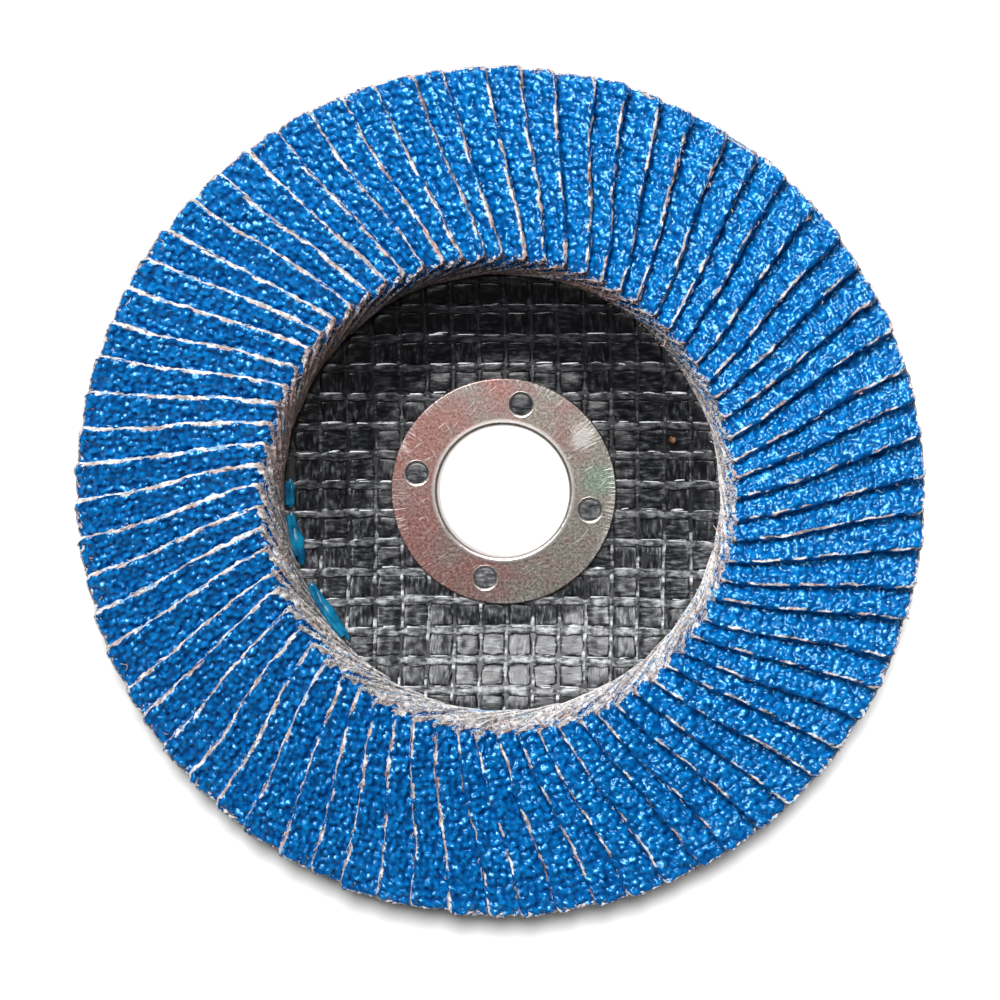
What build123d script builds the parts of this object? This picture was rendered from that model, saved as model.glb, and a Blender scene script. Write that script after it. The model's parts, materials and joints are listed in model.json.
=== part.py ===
from build123d import *

import os
from math import cos, pi, radians, sin, sqrt, tan

# Flap disc for an angle grinder: 100 mm across, 16 mm bore, depressed centre. Millimetres.
# The disc lies on the back of its hub at z = 0, with the bore on the Z axis and the grain up.

# Abrasive flaps: flat strips of coated cloth, laid like roof shingles round the disc
disc_radius = 50.0  # to the outer corner of each flap's top edge
flap_count = 72
flaps_per_node = 2
flap_length = 22.5
flap_width = 13.5
flap_thickness = 0.95
top_edge_offset = 9.1  # how far the line of a flap's top edge passes from the disc's axis
inner_slope = 26.0  # degrees, how steeply a flap leans at its inner end
outer_slope = 21.5  # degrees, the same at its outer end
first_flap_phase = -7.65  # degrees clockwise from +Y, middle of the first flap

# Backing plate: glass-fibre and resin, moulded to one thickness
flap_overhang = 2.0  # flaps past the plate's rim
flange_lead = 1.25  # from the line where the cone meets the flange out to the flaps
plate_thickness = 2.4
dish_depth = 3.6  # from the hub's top up to the flange's top
dish_angle = 23.0  # degrees, slope of the cone between hub and flange
bend_radius = 2.0  # inside of both bends
plate_edge_radius = 0.5

# Hub ring: tinned steel sheet with a drawn collar, flared over at the back
bore_radius = 8.0
ring_radius = 13.75
ring_sheet = 0.7
collar_wall = 0.55
collar_lead_radius = 0.45
flare = 0.5
ring_edge_radius = 0.15

# Grip holes in the ring, which the plate's resin rises into
grip_hole_count = 4
grip_hole_radius = 1.475
grip_circle_radius = 10.8
grip_hole_phase = 12.0  # degrees clockwise from +Y, seen from +Z
grip_hole_chamfer = 0.12
resin_key_height = 0.42

# Adhesive bed: poured ring that takes the print of the flaps' feet
bed_setback = 1.0  # from the flaps' inner ends
bed_rim_margin = 0.6  # from the plate's rim
bed_film = 0.3  # left between the plate and the flaps' feet
bed_height = 2.6  # before the flaps are pressed in
print_pitches = 1.6  # how far a flap's print runs up from its foot, in pitches at the rim
print_headroom = 1.9  # cleared above a flap, so no sliver is left between it and the next
bead_radius = 0.55  # of the adhesive squeezed out at the well's foot
bead_arcs = ((228.0, 16.0), (253.0, 11.0), (267.0, 6.0))  # start and sweep, degrees clockwise

# Clearances
collar_clearance = 0.05
key_clearance = 0.05
flap_clearance = 0.08  # between a flap's foot and its print in the bed
through_cut = 30.0  # length of a cut that passes right through the disc

# Derived sizes
flap_pitch = 360 / flap_count
flap_outer_end = sqrt(disc_radius**2 - top_edge_offset**2)
flap_inner_end = flap_outer_end - flap_length
hub_top = plate_thickness
ring_top = hub_top + ring_sheet
flange_top = plate_thickness + dish_depth
flap_foot = flange_top + bed_film
plate_radius = disc_radius - flap_overhang
plate_bore_radius = bore_radius + collar_wall + collar_clearance
flange_inner_radius = flap_inner_end - flange_lead
hub_flat_radius = flange_inner_radius - dish_depth / tan(radians(dish_angle))
bed_outer_radius = plate_radius - bed_rim_margin
bed_inner_radius = flap_inner_end + bed_setback
bead_lift = bead_radius / 3  # from the flange up to the middle of the bead


def clockwise(degrees_from_y):
    """Rotation about the disc's axis that takes +X to a direction given clockwise from +Y."""
    return Rot(0, 0, 90 - degrees_from_y)


def turned(outline, rounding):
    """Body of revolution about the Z axis, from a closed (radius, height) outline.

    rounding pairs corners of the outline with the radii that round them off.
    """
    face = make_face(Polyline(*outline, close=True))
    for corner, radius in rounding:
        vertex = face.vertices().sort_by_distance(corner)[0]
        face = fillet(vertex, radius)
    return revolve(Plane.XZ * face, Axis.Z)


def make_backing_plate():
    """Dished plate of one thickness, with a countersunk bore and four resin keys on its hub."""
    back_shift = plate_thickness * tan(radians(dish_angle / 2))
    top_hub_corner = (hub_flat_radius, hub_top)
    top_flange_corner = (flange_inner_radius, flange_top)
    top_rim = (plate_radius, flange_top)
    back_rim = (plate_radius, dish_depth)
    back_flange_corner = (flange_inner_radius + back_shift, dish_depth)
    back_hub_corner = (hub_flat_radius + back_shift, 0)
    outline = [
        (plate_bore_radius, hub_top),
        top_hub_corner,
        top_flange_corner,
        top_rim,
        back_rim,
        back_flange_corner,
        back_hub_corner,
        (plate_bore_radius + flare, 0),
        (plate_bore_radius, flare),
    ]
    rounding = [
        (top_hub_corner, bend_radius),
        (top_flange_corner, bend_radius + plate_thickness),
        (back_flange_corner, bend_radius),
        (back_hub_corner, bend_radius + plate_thickness),
        (top_rim, plate_edge_radius),
        (back_rim, plate_edge_radius),
    ]
    key = Cylinder(
        grip_hole_radius - key_clearance,
        resin_key_height + plate_thickness / 2,
        align=(Align.CENTER, Align.CENTER, Align.MAX),
    )
    key_place = Pos(grip_circle_radius, 0, hub_top + resin_key_height)
    keys = [turn * key_place * key for turn in grip_turns()]
    return turned(outline, rounding) + keys


def grip_turns():
    """Rotations that carry +X to each of the grip holes."""
    step = 360 / grip_hole_count
    return [clockwise(grip_hole_phase + step * i) for i in range(grip_hole_count)]


def make_hub_ring():
    """Flat steel ring whose collar is drawn down through the plate and flared at the back."""
    collar_radius = bore_radius + collar_wall
    collar_mouth = (bore_radius, ring_top)
    outer_edge = (ring_radius, ring_top)
    outline = [
        collar_mouth,
        (bore_radius, flare),
        (bore_radius + flare, 0),
        (collar_radius + flare, 0),
        (collar_radius, flare),
        (collar_radius, hub_top),
        (ring_radius, hub_top),
        outer_edge,
    ]
    ring = turned(outline, [(collar_mouth, collar_lead_radius), (outer_edge, ring_edge_radius)])
    hole = Cylinder(grip_hole_radius, through_cut)
    mouth_depth = 2 * grip_hole_chamfer
    hole_mouth = Cone(grip_hole_radius, grip_hole_radius + mouth_depth, mouth_depth)
    hole_place = Pos(grip_circle_radius, 0, ring_top)
    return ring - [turn * hole_place * cut for turn in grip_turns() for cut in (hole, hole_mouth)]


def sheet_section(end, slope, near, far, upper, lower):
    """Four-cornered cut through a leaning sheet, square to the flap's length.

    near and far are measured down the sheet from its top edge, upper and lower square to it
    from its grain face. The sheet's foot stands on the adhesive film at any slope.
    """
    lean = radians(slope)
    edge_height = flap_foot + flap_width * sin(lean) + flap_thickness * cos(lean)

    def corner(along, below):
        sideways = top_edge_offset - along * cos(lean) + below * sin(lean)
        height = edge_height - along * sin(lean) - below * cos(lean)
        return (end, -sideways, height)

    outline = Polyline(
        corner(near, upper), corner(far, upper), corner(far, lower), corner(near, lower), close=True
    )
    return make_face(outline)


def leaning_sheet(near, far, upper, lower):
    """Twisted strip ruled between a steep inner end and a flatter outer end."""
    inner = sheet_section(flap_inner_end, inner_slope, near, far, upper, lower)
    outer = sheet_section(flap_outer_end, outer_slope, near, far, upper, lower)
    return loft([inner, outer], ruled=True)


def flap_turns():
    """Rotations that carry +X to the middle of each flap, clockwise round the disc."""
    return [clockwise(first_flap_phase + flap_pitch * i) for i in range(flap_count)]


def make_flaps():
    """All the flaps as separate solids: each lies over the foot of the next one clockwise."""
    flap = leaning_sheet(0, flap_width, 0, flap_thickness)
    return [turn * flap for turn in flap_turns()]


def squeezed_bead(start, sweep):
    """Run of adhesive pressed out under the flaps, along the foot of the well's wall."""
    bead_centre = flap_inner_end - flap_clearance - bead_radius
    bead = Pos(bead_centre, flange_top + bead_lift) * Circle(bead_radius)
    film_width = bed_inner_radius + bead_radius - bead_centre
    film = Pos(bead_centre, flange_top) * Rectangle(
        film_width, bed_film - flap_clearance, align=(Align.MIN, Align.MIN)
    )
    below_flange = Pos(bead_centre, flange_top) * Rectangle(
        through_cut, through_cut, align=(Align.CENTER, Align.MAX)
    )
    section = Plane.XZ * (bead + film - below_flange)
    return revolve(clockwise(start + sweep) * section, Axis.Z, sweep)


def make_adhesive_bed():
    """Ring of adhesive with a saw-toothed top: one ramp and one step under every flap."""
    bed = Pos(0, 0, flange_top) * Cylinder(
        bed_outer_radius, bed_height, align=(Align.CENTER, Align.CENTER, Align.MIN)
    )
    bed -= Cylinder(bed_inner_radius, through_cut)
    widest_pitch = 2 * pi * disc_radius / flap_count
    foot_print = leaning_sheet(
        flap_width - print_pitches * widest_pitch,
        flap_width + flap_clearance,
        -print_headroom,
        flap_thickness + flap_clearance,
    )
    bed -= [turn * foot_print for turn in flap_turns()]
    return bed + [squeezed_bead(start, sweep) for start, sweep in bead_arcs]


def write_node(name, *shapes):
    """Write one node's solids to its own STEP file."""
    solids = [solid for shape in shapes for solid in shape.solids()]
    export_step(Compound(children=solids), f"parts/{name}.step")


os.makedirs("parts", exist_ok=True)
write_node("backing_plate", make_backing_plate())
write_node("hub_ring", make_hub_ring())
write_node("adhesive_bed", make_adhesive_bed())
flaps = make_flaps()
for pair in range(flap_count // flaps_per_node):
    first = pair * flaps_per_node
    write_node(f"flap_pair_{pair + 1:02d}", *flaps[first : first + flaps_per_node])
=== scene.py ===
"""Looks of a 100 mm flap disc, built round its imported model. Everything is in metres.

The disc lies on the back of its hub with the grain up. 72 strips of coated cloth lean on each other like
roof shingles round a dished glass-fibre plate, and a tinned steel ring lines the plate's bore.
"""

import json
import math

import bpy
import numpy as np
from mathutils import Matrix, Vector

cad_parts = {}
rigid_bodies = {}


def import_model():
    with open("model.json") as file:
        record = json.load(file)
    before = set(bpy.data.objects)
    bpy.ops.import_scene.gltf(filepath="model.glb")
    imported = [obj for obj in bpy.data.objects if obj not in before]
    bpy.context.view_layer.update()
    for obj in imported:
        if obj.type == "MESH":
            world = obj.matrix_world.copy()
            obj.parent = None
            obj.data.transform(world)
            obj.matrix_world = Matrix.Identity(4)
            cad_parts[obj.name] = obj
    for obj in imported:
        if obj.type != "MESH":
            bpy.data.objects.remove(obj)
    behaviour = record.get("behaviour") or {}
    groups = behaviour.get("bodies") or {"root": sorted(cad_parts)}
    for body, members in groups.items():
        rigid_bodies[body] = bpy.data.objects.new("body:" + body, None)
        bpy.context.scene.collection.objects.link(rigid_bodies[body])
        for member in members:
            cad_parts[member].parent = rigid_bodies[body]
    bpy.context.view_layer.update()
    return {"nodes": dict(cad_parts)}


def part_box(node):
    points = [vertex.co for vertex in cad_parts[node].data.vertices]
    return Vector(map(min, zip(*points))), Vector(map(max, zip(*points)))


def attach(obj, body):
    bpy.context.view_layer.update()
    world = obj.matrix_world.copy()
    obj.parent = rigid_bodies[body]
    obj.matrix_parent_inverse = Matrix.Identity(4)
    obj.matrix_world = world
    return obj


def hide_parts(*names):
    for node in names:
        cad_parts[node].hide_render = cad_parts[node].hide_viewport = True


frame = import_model()

mm = 0.001

# Flaps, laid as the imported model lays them
flap_count = 72
flaps_per_node = 2
disc_radius = 50.0 * mm
flap_length = 22.5 * mm
flap_width = 13.5 * mm
flap_thickness = 0.95 * mm
top_edge_offset = 9.1 * mm
inner_lean = math.radians(26.0)
outer_lean = math.radians(21.5)
first_flap_phase = -7.65
flap_pitch = 360 / flap_count
flap_outer_end = math.sqrt(disc_radius**2 - top_edge_offset**2)
flap_inner_end = flap_outer_end - flap_length

# Heights and radii of the dished plate
plate_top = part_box("backing_plate")[1].z
bed_film = 0.3 * mm
flap_foot = plate_top + bed_film
hub_top = 2.4 * mm
dish_slope = math.radians(23.0)
dish_top_radius = flap_inner_end - 1.25 * mm
dish_foot_radius = dish_top_radius - (plate_top - hub_top) / math.tan(dish_slope)
dish_foot_bend = 2.0 * mm
dish_top_bend = 4.4 * mm
ring_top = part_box("hub_ring")[1].z

# Grain and cloth of a flap
grain_size = 0.80 * mm
grain_rise = 0.36 * mm
coat_depth = 0.36 * mm  # of the grain's foot under the flap's upper face
covered_depth = 0.10 * mm  # of the grain that the next flap hides
corner_round = 0.7 * mm
fringe_depth = 0.35 * mm  # of the ragged cloth past the inner end
wall_slant = 0.25 * mm  # how far the inner end's foot runs out past its top
outer_skew = 0.42 * mm  # how far the outer end runs out behind its leading corner
lap_margin = 0.9 * mm  # of grain under the next flap
columns = 132
top_rows = 24

# How the fan departs from even spacing, in degrees, and how far its flaps stick out
pitch_drift_once = 1.25
pitch_drift_twice = 0.39
pitch_scatter = 0.2
mean_overhang = 0.62 * mm
overhang_drift = 0.38 * mm
overhang_scatter = 0.10 * mm

# Directions in degrees clockwise from +Y
frayed_lit_edge_heading = 265  # where the cut edges fray most and are painted palest, a painted light; away from here they are painted dark, a painted shade
lit_wall_heading = 160  # where the well's wall is painted palest, a painted light
shaded_wall_heading = -30  # where the well's wall is painted darkest, a painted shade


def lattice(column, row, salt):
    """A steady number from 0 to 1 for each cell: the fraction of a large sine of its two whole numbers."""
    return np.abs(np.sin(column * 12.9898 + row * 78.233 + salt * 37.719) * 43758.5453) % 1.0


def blended(share):
    """Smooth step of a share from 0 to 1: 3 s^2 - 2 s^3."""
    share = np.clip(share, 0.0, 1.0)
    return share * share * (3.0 - 2.0 * share)


def waves(x, y, salt):
    """Smooth noise from -1 to 1: the numbers of a cell's four corners, blended across the cell."""
    column, row = np.floor(x), np.floor(y)
    right, up = blended(x - column), blended(y - row)
    low = lattice(column, row, salt) * (1 - right) + lattice(column + 1, row, salt) * right
    high = lattice(column, row + 1, salt) * (1 - right) + lattice(column + 1, row + 1, salt) * right
    return 2.0 * (low * (1 - up) + high * up) - 1.0


def grains(x, y, salt):
    """Height from 0 to 1 of coated grains: in every cell one tilted dome about a scattered centre.

    A dome is size * sqrt(1 - (distance / reach)^2), and a point takes the highest dome over it.
    """
    height = np.zeros_like(x)
    for step_x in (-1, 0, 1):
        for step_y in (-1, 0, 1):
            column, row = np.floor(x) + step_x, np.floor(y) + step_y
            off_x = x - column - 0.15 - 0.7 * lattice(column, row, salt)
            off_y = y - row - 0.15 - 0.7 * lattice(column, row, salt + 1)
            size = 0.55 + 0.45 * lattice(column, row, salt + 2)
            heading = 2 * math.pi * lattice(column, row, salt + 3)
            long_way = off_x * np.cos(heading) + off_y * np.sin(heading)
            short_way = off_y * np.cos(heading) - off_x * np.sin(heading)
            reach = 0.42 + 0.30 * size
            spread = (long_way / reach) ** 2 + (1.35 * short_way / reach) ** 2
            dome = size * np.sqrt(np.clip(1 - spread, 0, None)) * (1 + 0.45 * long_way / reach)
            height = np.maximum(height, dome)
    return height


def turned(x, y, clockwise):
    """Points turned about the disc's axis so that +X comes to an angle given clockwise from +Y."""
    turn = np.radians(90.0 - clockwise)
    return x * np.cos(turn) - y * np.sin(turn), x * np.sin(turn) + y * np.cos(turn)


def on_flap(share, along, below, clockwise):
    """A point of a leaning flap, which is ruled between its inner and outer end sections.

    share runs from 0 at the inner end to 1 at the outer end, along is the distance down the slope from the
    top edge, and below the depth under the grain side.
    """
    sections = []
    for lean in (inner_lean, outer_lean):
        edge_height = flap_foot + flap_width * math.sin(lean) + flap_thickness * math.cos(lean)
        sideways = top_edge_offset - along * math.cos(lean) + below * math.sin(lean)
        height = edge_height - along * math.sin(lean) - below * math.cos(lean)
        sections.append((sideways, height))
    sideways = sections[0][0] + (sections[1][0] - sections[0][0]) * share
    height = sections[0][1] + (sections[1][1] - sections[0][1]) * share
    x, y = turned(flap_inner_end + flap_length * share, -sideways, clockwise)
    return np.stack([x, y, height], axis=-1)


class Skin:
    """Points, four-cornered and three-cornered faces, and each point's own numbers for the material."""

    def __init__(self):
        self.points, self.quads, self.triangles = [], [], []
        self.numbers = {"bare": [], "grain": [], "tint": []}
        self.count = 0

    def add(self, points, quads, triangles=None, **numbers):
        self.points.append(points.reshape(-1, 3))
        self.quads.append(quads.reshape(-1, 4) + self.count)
        if triangles is not None:
            self.triangles.append(triangles.reshape(-1, 3) + self.count)
        added = len(self.points[-1])
        for name, values in self.numbers.items():
            values.append(np.broadcast_to(numbers.get(name, 0.0), (added,)).astype(np.float32))
        self.count += added

    def piece(self, name, material):
        """The mesh object: shared corners in one run, four at a time and then three at a time."""
        quads = np.concatenate(self.quads)
        triangles = np.concatenate(self.triangles) if self.triangles else np.zeros((0, 3), int)
        corners = np.concatenate([quads.ravel(), triangles.ravel()]).astype(np.int32)
        sizes = np.concatenate([np.full(len(quads), 4), np.full(len(triangles), 3)])
        starts = np.concatenate([[0], np.cumsum(sizes)[:-1]]).astype(np.int32)
        mesh = bpy.data.meshes.new(name)
        mesh.vertices.add(self.count)
        mesh.vertices.foreach_set("co", np.concatenate(self.points).astype(np.float32).ravel())
        mesh.loops.add(len(corners))
        mesh.loops.foreach_set("vertex_index", corners)
        mesh.polygons.add(len(starts))
        mesh.polygons.foreach_set("loop_start", starts)
        mesh.polygons.foreach_set("use_smooth", sizes == 4)
        mesh.update(calc_edges=True)
        for attribute, values in self.numbers.items():
            layer = mesh.attributes.new(attribute, "FLOAT", "POINT")
            layer.data.foreach_set("value", np.concatenate(values))
        mesh.materials.append(material)
        made = bpy.data.objects.new(name, mesh)
        bpy.context.scene.collection.objects.link(made)
        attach(made, "root")
        return made


def grid_faces(rows, width, rows_close=False, width_closes=False, flip=False):
    """Faces of a grid of rows by width points: a quad from each point to the next ones both ways.

    A direction that closes joins its last points to its first, and flip turns the faces over.
    """
    row, column = np.meshgrid(np.arange(rows if rows_close else rows - 1),
                              np.arange(width if width_closes else width - 1), indexing="ij")
    next_row, next_column = (row + 1) % rows, (column + 1) % width
    corners = [row * width + column, next_row * width + column,
               next_row * width + next_column, row * width + next_column]
    faces = np.stack(corners, axis=-1).reshape(-1, 4)
    return faces[:, [0, 3, 2, 1]] if flip else faces


def end_fans(width, last):
    """Triangles that close the first ring of points, and the last ring, which starts at point number last."""
    fan = np.arange(1, width - 1)
    near = np.stack([0 * fan, fan, fan + 1], axis=-1)
    return np.concatenate([near, near[:, [0, 2, 1]] + last])


def threads(skin, roots, heads, bow, radius, tint, steps=5, taper=0.5, bare=1.0):
    """Four-sided threads: each path is a parabola from root to head, and its ring narrows along the way.

    A point is root (1 - s) + head s + 4 bow s (1 - s) at the share s, with a ring of radius (1 - taper s).
    """
    share = np.linspace(0, 1, steps + 1)[None, :, None]
    line = roots[:, None] * (1 - share) + heads[:, None] * share + 4 * bow[:, None] * share * (1 - share)
    ahead = np.gradient(line, axis=1)
    ahead /= np.linalg.norm(ahead, axis=2, keepdims=True)
    side = np.cross(ahead, np.array([0.31, 0.17, 0.94]))
    side /= np.linalg.norm(side, axis=2, keepdims=True)
    lift = np.cross(ahead, side)
    angle = 2 * math.pi * np.arange(4) / 4
    ring = np.cos(angle)[:, None] * side[:, :, None] + np.sin(angle)[:, None] * lift[:, :, None]
    girth = (np.reshape(radius, (-1, 1, 1)) * (1 - taper * share))[:, :, None]
    points = line[:, :, None] + girth * ring
    count, each = len(roots), (steps + 1) * 4
    first = np.arange(count)[:, None, None] * each
    quads = first + grid_faces(steps + 1, 4, width_closes=True, flip=True)
    near_ends = first[:, 0] + [3, 2, 1, 0]
    far_ends = first[:, 0] + steps * 4 + [0, 1, 2, 3]
    skin.add(points, np.concatenate([quads.reshape(-1, 4), near_ends, far_ends]), grain=0.4,
             bare=np.repeat(np.broadcast_to(bare, count), each), tint=np.repeat(tint, each))


def toward(clockwise, heading):
    """1 where the disc faces a heading, 0 on the far side from it: half of 1 + cos of the angle between."""
    return 0.5 + 0.5 * math.cos(math.radians(clockwise - heading))


def edge_fray_and_light(clockwise):
    """How much the cut edge frays on a flap at a heading, and how pale it is painted: painted light where the
    edges face the key, painted shade where they face away.
    """
    return 0.1 + 0.9 * toward(clockwise, frayed_lit_edge_heading)


def wall_shade(clockwise):
    """How much painted shade darkens the cloth of the well's wall at a heading."""
    return toward(clockwise, shaded_wall_heading) ** 2


def edge_tint(tint, fray_and_light):
    """Tint of a cut edge, painted light and shade: dark brown where the edge faces away from the key, and
    pale where it faces the key and frays most.
    """
    return tint * (0.22 + 0.58 * fray_and_light) + 0.6 * max(fray_and_light - 0.6, 0)


def add_flap(skin, number, random):
    """One flap: a sheet wrapped round its own section, with grain on its open strip and a ragged cut edge,
    whose paint runs from pale to dark as painted light and shade.

    The grid's columns run out along the flap and its rows go round the section. The fan's drift and its
    overhang are small cosines of the flap's heading.
    """
    clockwise = first_flap_phase + flap_pitch * number
    turn = math.radians(clockwise)
    drift = pitch_drift_once * math.cos(turn + 1.05) + pitch_drift_twice * math.cos(2 * turn - 3.02) - 0.1
    clockwise += drift + random.normal(0, pitch_scatter)
    overhang = mean_overhang - overhang_drift * math.cos(turn - 1.31) + random.normal(0, overhang_scatter)
    salt = number * 11.0
    share = np.linspace(0, 1, columns + 1)
    distance = flap_inner_end + flap_length * share
    run = distance / mm
    lean = inner_lean + (outer_lean - inner_lean) * share
    reach = distance * math.sin(math.radians(flap_pitch)) / np.cos(lean) + lap_margin
    wander = 0.16 * mm * waves(run / 6.0, 0, salt) + 0.09 * mm * waves(run / 1.3, 0, salt + 1)
    curve = 0.22 * mm * np.sin(2 * math.pi * share + random.uniform(-0.4, 0.4))
    edge_shift = wander + curve
    fray_and_light = edge_fray_and_light(clockwise)
    # Less cloth shows on cut edges that face away from the key, so they stay dark blue: a painted shade.
    cloth_on_edge_and_shade = 1.73 * fray_and_light - 0.53

    # The section's rows: open grain, covered grain, underside, cut edge
    open_share = np.linspace(0, 1, top_rows + 1)[:, None]
    open_rows = open_share * reach
    back_rows = np.array([flap_width, flap_width, 1.2 * mm, 0.2 * mm])[:, None] + 0 * reach
    edge_depth = np.array([0.88, 0.70, 0.54, 0.42])[:, None]
    lumps = 0.13 * waves(run / 0.8, 10 * edge_depth, salt + 2)
    lumps = lumps + 0.09 * waves(run / 0.3, 17 * edge_depth, salt + 3)
    edge_rows = -(0.06 + lumps) * mm
    along = np.concatenate([open_rows, back_rows, edge_rows])
    fade = np.clip(1 - along / (3.5 * mm), 0, 1)
    moved = along - edge_shift * fade

    grid_run = np.broadcast_to(run, along.shape)
    relief = grains(grid_run / (grain_size / mm), along / grain_size, salt + 5)
    relief = relief + 0.12 * waves(grid_run / 0.35, along / (0.35 * mm), salt + 9)
    near_edge = blended(along / (0.45 * mm))
    chipped = blended(0.5 + 1.6 * waves(grid_run / 1.6, along / (0.9 * mm), salt + 12))
    near_end = blended(np.minimum((share * flap_length - fringe_depth) / (0.5 * mm),
                                  (1 - share) * flap_length / (0.5 * mm)))
    relief = relief * (0.25 + 0.75 * near_edge) * (0.3 + 0.7 * near_end)
    below = np.empty_like(along)
    open_count = top_rows + 1
    below[:open_count] = coat_depth - grain_rise * relief[:open_count]
    below[open_count] = covered_depth
    below[open_count + 1:open_count + 4] = flap_thickness
    below[open_count + 4:] = flap_thickness * edge_depth

    # Both ends are ragged, and the corners by the cut edge are worn round
    outer_worn = np.clip(1 - along / corner_round, 0, 1)
    inner_worn = np.clip(1 - along / (0.6 * corner_round), 0, 1)
    outer_back = corner_round * (1 - np.sqrt(1 - outer_worn**2))
    inner_back = 0.5 * corner_round * (1 - np.sqrt(1 - inner_worn**2))
    outer_back = outer_back + 0.10 * mm * waves(along / (0.5 * mm), 0, salt + 20) - overhang
    outer_back = outer_back - outer_skew * blended(along / (4.4 * mm))
    inner_back = inner_back - fringe_depth * (0.6 + 0.5 * waves(along / (0.7 * mm), 0, salt + 21))
    inner_back = inner_back - wall_slant * np.clip(along / flap_width, 0, 1)
    low, high = inner_back / flap_length, 1 - outer_back / flap_length
    points = on_flap(low + (high - low) * share, moved, below, clockwise)

    # Where the coat is gone and the cloth shows, 0 to 1
    bare = np.zeros_like(along)
    outer_strip = 1 - blended((1 - share) * flap_length / (0.34 * mm))
    fringe_edge = fringe_depth * (0.75 + 0.9 * waves(along / (0.8 * mm), 0, salt + 17))
    open_end = 0.62 - 0.26 * math.cos(math.radians(clockwise - 20))
    inner_strip = open_end * (1 - blended((share * (flap_length + fringe_depth) - fringe_edge) / (0.5 * mm)))
    worn_edge = (1 - near_edge) * chipped
    bare[:open_count] = np.clip(0.8 * outer_strip + inner_strip + 0.8 * worn_edge, 0, 1)[:open_count]
    bare[open_count] = 0.78 * (share < 0.05)
    bare[open_count + 1:] = 1.0
    bare[open_count + 4:] = np.clip(cloth_on_edge_and_shade + 1.1 * waves(run / 2.2, 4 * edge_depth, salt + 14), 0, 1)
    dusty = 0.62 + 0.35 * waves(along[:, 0] / (0.5 * mm), 0, salt + 18)
    bare[:, 0] = np.maximum(bare[:, 0], dusty)

    # The cloth's tint: 0 is brown, the middle pale and 1 blue with the coat's dust
    tint = 0.5 + 0.5 * waves(grid_run / 0.9, along / (0.5 * mm), salt + 30)
    corner = (1 - blended(share * flap_length / (1.4 * mm))) * (1 - blended(along / (0.9 * mm)))
    in_band = 1 - blended((share * flap_length) / (1.6 * mm))
    band_tint = 0.52 + 0.40 * waves(grid_run / 0.6, along / (0.7 * mm), salt + 31)
    tint = (tint * (1 - in_band) + band_tint * in_band) * (1 - 0.5 * corner)
    wall_shaded, wall_lit = wall_shade(clockwise), toward(clockwise, lit_wall_heading)
    # The wall's cloth is painted paler toward one heading and darker toward another: painted light and shade.
    tint[:, 0] = (tint[:, 0] + 0.25 * wall_lit) * (1 - 0.97 * wall_shaded)
    tint[open_count + 4:] = edge_tint(tint[open_count + 4:], fray_and_light)
    height = np.clip(relief, 0, 1)
    height[open_count:] = 0.3

    rows, width = len(along), columns + 1
    start = np.arange(rows) * width
    after = np.roll(start, -1)
    inner_fan = np.stack([start, np.full(rows, rows * width), after], axis=-1)
    outer_fan = np.stack([start + columns, after + columns, np.full(rows, rows * width + 1)], axis=-1)
    centres = on_flap(np.array([0.0, 1.0]), 0.4 * flap_width, 0.5 * flap_thickness, clockwise)
    skin.add(
        np.concatenate([points.reshape(-1, 3), centres]),
        grid_faces(rows, width, rows_close=True),
        np.concatenate([inner_fan, outer_fan]),
        bare=np.append(bare.ravel(), [1, 1]),
        grain=np.append(height.ravel(), [0, 0]),
        tint=np.append(tint.ravel(), [(0.55 + 0.2 * wall_lit) * (1 - wall_shaded), 0.5]),
    )
    fray(skin, clockwise, random)


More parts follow.
